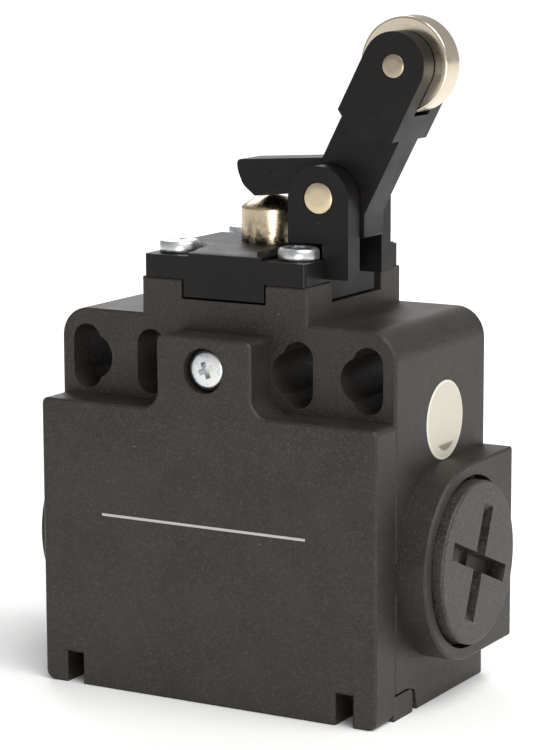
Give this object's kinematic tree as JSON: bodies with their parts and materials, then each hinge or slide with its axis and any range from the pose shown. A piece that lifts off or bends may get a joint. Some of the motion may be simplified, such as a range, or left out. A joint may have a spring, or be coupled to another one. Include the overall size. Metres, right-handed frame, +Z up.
{
  "type": "roller lever limit switch",
  "caption": "Plastic limit switch with an angled roller lever over a domed plunger, blanked conduit entries at both sides and slotted fixing holes.",
  "frame": {"origin": "under the middle of the switch, at its bottom face, halfway between the front of the cover and the mounting back", "axes": "+X to the right seen from the cover, +Y from the cover to the mounting back, +Z up towards the roller"},
  "size_m": [0.061, 0.031, 0.0887],
  "materials": {
    "housing_plastic": "dark warm brown-black moulded glass-filled plastic, fine matt grain",
    "head_plastic": "near-black moulded plastic, smooth matt",
    "plug_plastic": "dark grey-black moulded plastic, slightly mottled",
    "block_plastic": "ivory moulded insulating plastic, matt",
    "carrier_plastic": "red moulded insulating plastic, satin",
    "plunger_steel": "turned steel with a polished dome",
    "roller_steel": "polished nickel-plated steel",
    "pin_steel": "turned steel, flat ends",
    "zinc_steel": "bright zinc-plated steel",
    "spring_steel": "drawn spring wire",
    "terminal_brass": "stamped brass strip, satin",
    "contact_silver": "silver alloy, slightly dull",
    "seal_rubber": "black nitrile rubber, matt",
    "sticker_paper": "cream coated paper, blank"
  },
  "bodies": {
    "housing": {"base_housing": "housing_plastic", "front_cover": "housing_plastic", "cover_gasket": "seal_rubber", "cover_screw": "zinc_steel", "head_body": "head_plastic", "head_screws": "zinc_steel", "plunger_seal": "seal_rubber", "lever_pivot_pin": "pin_steel", "conduit_plug_left": "plug_plastic", "conduit_plug_right": "plug_plastic", "plug_seal_left": "seal_rubber", "plug_seal_right": "seal_rubber", "side_seal_sticker": "sticker_paper", "contact_block_housing": "block_plastic", "contact_block_cap": "block_plastic", "contact_block_screws": "zinc_steel", "terminal_upper_left": "terminal_brass", "terminal_upper_right": "terminal_brass", "terminal_lower_left": "terminal_brass", "terminal_lower_right": "terminal_brass", "fixed_contact_tips": "contact_silver", "terminal_clamp_plates": "zinc_steel", "terminal_screws": "zinc_steel", "plunger_return_spring": "spring_steel", "carrier_return_spring": "spring_steel"},
    "lever": {"lever_arm": "head_plastic", "roller_pin": "pin_steel"},
    "roller_wheel": {"roller": "roller_steel"},
    "plunger": {"plunger": "plunger_steel"},
    "contact_slider": {"contact_carrier": "carrier_plastic", "contact_bridge_upper": "terminal_brass", "contact_bridge_lower": "terminal_brass", "moving_contact_tips": "contact_silver", "contact_spring_upper": "spring_steel", "contact_spring_lower": "spring_steel"}
  },
  "joints": [
    {"name": "lever_pivot", "type": "hinge", "parent": "housing", "child": "lever", "pos_m": [0.0109, 0.00125, 0.0656], "axis": [0, -1, 0], "range_deg": [0, 20], "stiffness_Nm_per_rad": 0.15, "springref_deg": -17.19},
    {"name": "roller_spin", "type": "hinge", "parent": "lever", "child": "roller_wheel", "pos_m": [0.02078, 0.0014, 0.08257], "axis": [0, -1, 0], "continuous": true},
    {"name": "plunger_slide", "type": "slide", "parent": "housing", "child": "plunger", "axis": [0, 0, -1], "range_m": [0, 0.0038], "deforming": ["plunger_return_spring"]},
    {"name": "carrier_slide", "type": "slide", "parent": "housing", "child": "contact_slider", "axis": [0, 0, -1], "range_m": [0, 0.0038], "deforming": ["carrier_return_spring"]}
  ],
  "couplings": [
    {"joint": "plunger_slide", "follows": "lever_pivot", "m_per_rad": 0.0108},
    {"joint": "carrier_slide", "follows": "lever_pivot", "m_per_rad": 0.0108}
  ]
}
